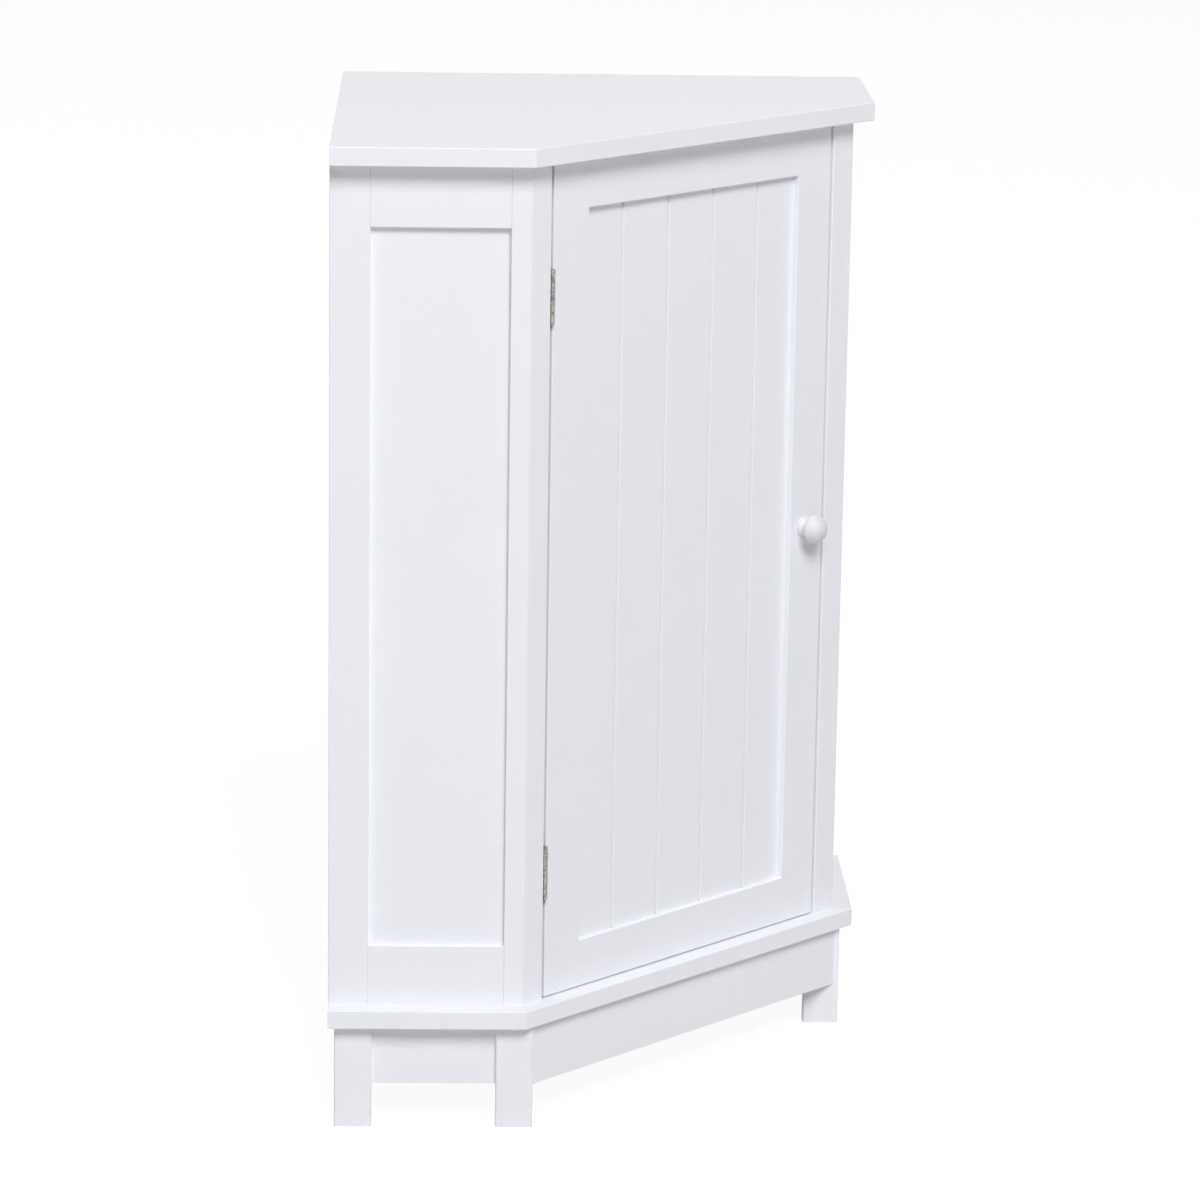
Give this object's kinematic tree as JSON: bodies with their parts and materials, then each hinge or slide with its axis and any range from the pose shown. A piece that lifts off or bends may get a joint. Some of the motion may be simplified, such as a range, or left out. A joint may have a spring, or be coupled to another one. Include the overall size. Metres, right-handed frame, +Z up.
{
  "type": "corner cabinet",
  "caption": "Five-sided white corner cabinet on short feet, with panelled wings, a beaded inset door on butt hinges, a round knob and loose shelves.",
  "frame": {"origin": "on the floor, under the middle of the cabinet's box", "axes": "+Z up; the door faces -Y; the room corner that the cabinet stands in is at +Y, its two walls run at 45 degrees to +X and -X"},
  "size_m": [0.628, 0.433, 0.8],
  "materials": {
    "white_lacquer": "satin white lacquer over fibreboard and wood, edges slightly rounded",
    "hinge_nickel": "nickel-plated steel, satin",
    "screw_steel": "bright zinc-plated steel",
    "catch_steel": "plain zinc-plated steel",
    "catch_plastic": "moulded white plastic",
    "magnet_ferrite": "pressed ferrite, matte",
    "cam_zinc": "die-cast zinc",
    "dowel_beech": "bare beech",
    "peg_steel": "nickel-plated steel"
  },
  "bodies": {
    "cabinet": {"top_board": "white_lacquer", "base_board": "white_lacquer", "left_wall_panel": "white_lacquer", "right_wall_panel": "white_lacquer", "left_rear_stile": "white_lacquer", "right_rear_stile": "white_lacquer", "left_wing_top_rail": "white_lacquer", "right_wing_top_rail": "white_lacquer", "left_wing_bottom_rail": "white_lacquer", "right_wing_bottom_rail": "white_lacquer", "left_wing_panel": "white_lacquer", "right_wing_panel": "white_lacquer", "left_corner_post": "white_lacquer", "right_corner_post": "white_lacquer", "rear_leg": "white_lacquer", "left_wall_leg": "white_lacquer", "right_wall_leg": "white_lacquer", "left_front_leg": "white_lacquer", "right_front_leg": "white_lacquer", "front_apron": "white_lacquer", "left_apron": "white_lacquer", "right_apron": "white_lacquer", "left_wall_apron": "white_lacquer", "right_wall_apron": "white_lacquer", "lower_shelf": "white_lacquer", "upper_shelf": "white_lacquer", "upper_post_leaf": "hinge_nickel", "lower_post_leaf": "hinge_nickel", "upper_hinge_pin": "hinge_nickel", "lower_hinge_pin": "hinge_nickel", "post_leaf_screws": "screw_steel", "catch_screws": "screw_steel", "catch_poles": "catch_steel", "catch_body": "catch_plastic", "catch_magnet": "magnet_ferrite", "cam_locks": "cam_zinc", "cam_bolts": "cam_zinc", "dowels": "dowel_beech", "lower_shelf_pegs": "peg_steel", "upper_shelf_pegs": "peg_steel"},
    "door": {"door_hinge_stile": "white_lacquer", "door_lock_stile": "white_lacquer", "door_bottom_rail": "white_lacquer", "door_top_rail": "white_lacquer", "door_panel": "white_lacquer", "knob": "white_lacquer", "knob_screw": "screw_steel", "upper_door_leaf": "hinge_nickel", "lower_door_leaf": "hinge_nickel", "door_leaf_screws": "screw_steel", "strike_plate": "catch_steel", "strike_screw": "screw_steel"}
  },
  "joints": [
    {"name": "door_hinge", "type": "hinge", "parent": "cabinet", "child": "door", "pos_m": [-0.16648, -0.19605, 0.208], "axis": [0, 0, -1], "range_deg": [0, 160]}
  ]
}
